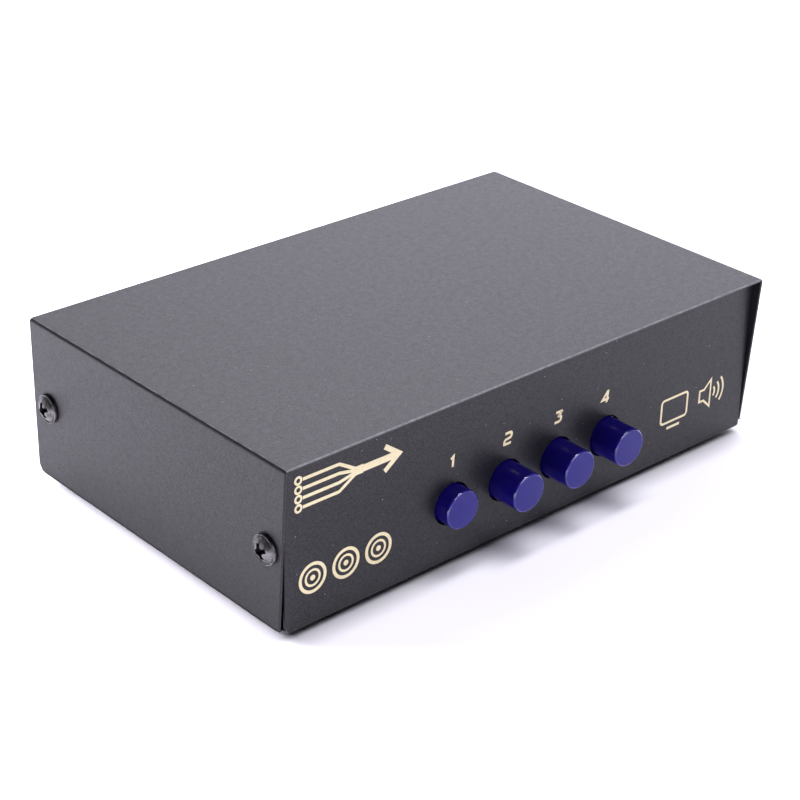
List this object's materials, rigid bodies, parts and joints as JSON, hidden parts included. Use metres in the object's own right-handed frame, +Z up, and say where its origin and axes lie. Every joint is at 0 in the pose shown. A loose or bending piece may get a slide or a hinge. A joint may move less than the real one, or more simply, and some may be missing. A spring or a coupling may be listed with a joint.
{
  "type": "audio video selector switch",
  "caption": "Low black folded-steel box with a row of interlocked round blue push keys in front and columns of phono sockets behind, for choosing one picture and sound source.",
  "frame": {"origin": "on the surface that the feet stand on, under the middle of the whole box measured over caps, screw heads and sockets", "axes": "+X to the right seen from the front, +Y from the front panel to the rear panel, +Z up"},
  "size_m": [0.1542, 0.108, 0.0433],
  "materials": {
    "case_paint": "black powder coat, fine texture",
    "black_screw": "glossy black steel",
    "foot_rubber": "matt black",
    "cap_blue": "glossy dark blue",
    "plunger_plastic": "natural white",
    "contact_brass": "plated",
    "spring_steel": "bright",
    "switch_plastic": "black",
    "terminal_tin": "tinned",
    "frame_steel": "zinc plated",
    "board_green": "green solder mask",
    "standoff_brass": "bright",
    "zinc_screw": "zinc plated",
    "jack_black": "black",
    "jack_yellow": "satin",
    "jack_white": "satin",
    "jack_red": "satin",
    "sleeve_nickel": "nickel plated",
    "ribbon_grey": "grey"
  },
  "bodies": {
    "case": {"top_cover": "case_paint", "chassis": "case_paint", "cover_screws": "black_screw", "rubber_feet": "foot_rubber", "switch_terminals": "terminal_tin", "switch_frame": "frame_steel", "latch_spring": "spring_steel", "switch_board": "board_green", "board_standoffs": "standoff_brass", "board_screws": "zinc_screw", "floor_screws": "black_screw", "jack_board": "board_green", "jack_inserts_yellow": "jack_yellow", "jack_inserts_white": "jack_white", "jack_inserts_red": "jack_red", "jack_barrels": "sleeve_nickel", "jack_contacts": "contact_brass", "jack_screws": "black_screw", "ribbon_cables": "ribbon_grey", "key_spring_1": "spring_steel", "switch_body_1": "switch_plastic", "key_spring_2": "spring_steel", "switch_body_2": "switch_plastic", "key_spring_3": "spring_steel", "switch_body_3": "switch_plastic", "key_spring_4": "spring_steel", "switch_body_4": "switch_plastic", "jack_housing_1": "jack_black", "jack_housing_2": "jack_black", "jack_housing_3": "jack_black", "jack_housing_4": "jack_black", "jack_housing_5": "jack_black"},
    "key_1": {"key_cap_1": "cap_blue", "key_plunger_1": "plunger_plastic", "slider_clips_1": "contact_brass"},
    "key_2": {"key_cap_2": "cap_blue", "key_plunger_2": "plunger_plastic", "slider_clips_2": "contact_brass"},
    "key_3": {"key_cap_3": "cap_blue", "key_plunger_3": "plunger_plastic", "slider_clips_3": "contact_brass"},
    "key_4": {"key_cap_4": "cap_blue", "key_plunger_4": "plunger_plastic", "slider_clips_4": "contact_brass"},
    "latch": {"latch_bar": "frame_steel"}
  },
  "joints": [
    {"name": "key_1_press", "type": "slide", "parent": "case", "child": "key_1", "axis": [0, 1, 0], "range_m": [-0.00405, 0.0006], "stiffness_N_per_m": 120, "springref_m": -0.01005, "deforming": ["key_spring_1"]},
    {"name": "key_2_press", "type": "slide", "parent": "case", "child": "key_2", "axis": [0, 1, 0], "range_m": [0, 0.00465], "stiffness_N_per_m": 120, "springref_m": -0.006, "deforming": ["key_spring_2"]},
    {"name": "key_3_press", "type": "slide", "parent": "case", "child": "key_3", "axis": [0, 1, 0], "range_m": [0, 0.00465], "stiffness_N_per_m": 120, "springref_m": -0.006, "deforming": ["key_spring_3"]},
    {"name": "key_4_press", "type": "slide", "parent": "case", "child": "key_4", "axis": [0, 1, 0], "range_m": [0, 0.00465], "stiffness_N_per_m": 120, "springref_m": -0.006, "deforming": ["key_spring_4"]},
    {"name": "latch_slide", "type": "slide", "parent": "case", "child": "latch", "axis": [1, 0, 0], "range_m": [-0.001, 0], "stiffness_N_per_m": 200, "springref_m": -0.003, "deforming": ["latch_spring"]}
  ]
}
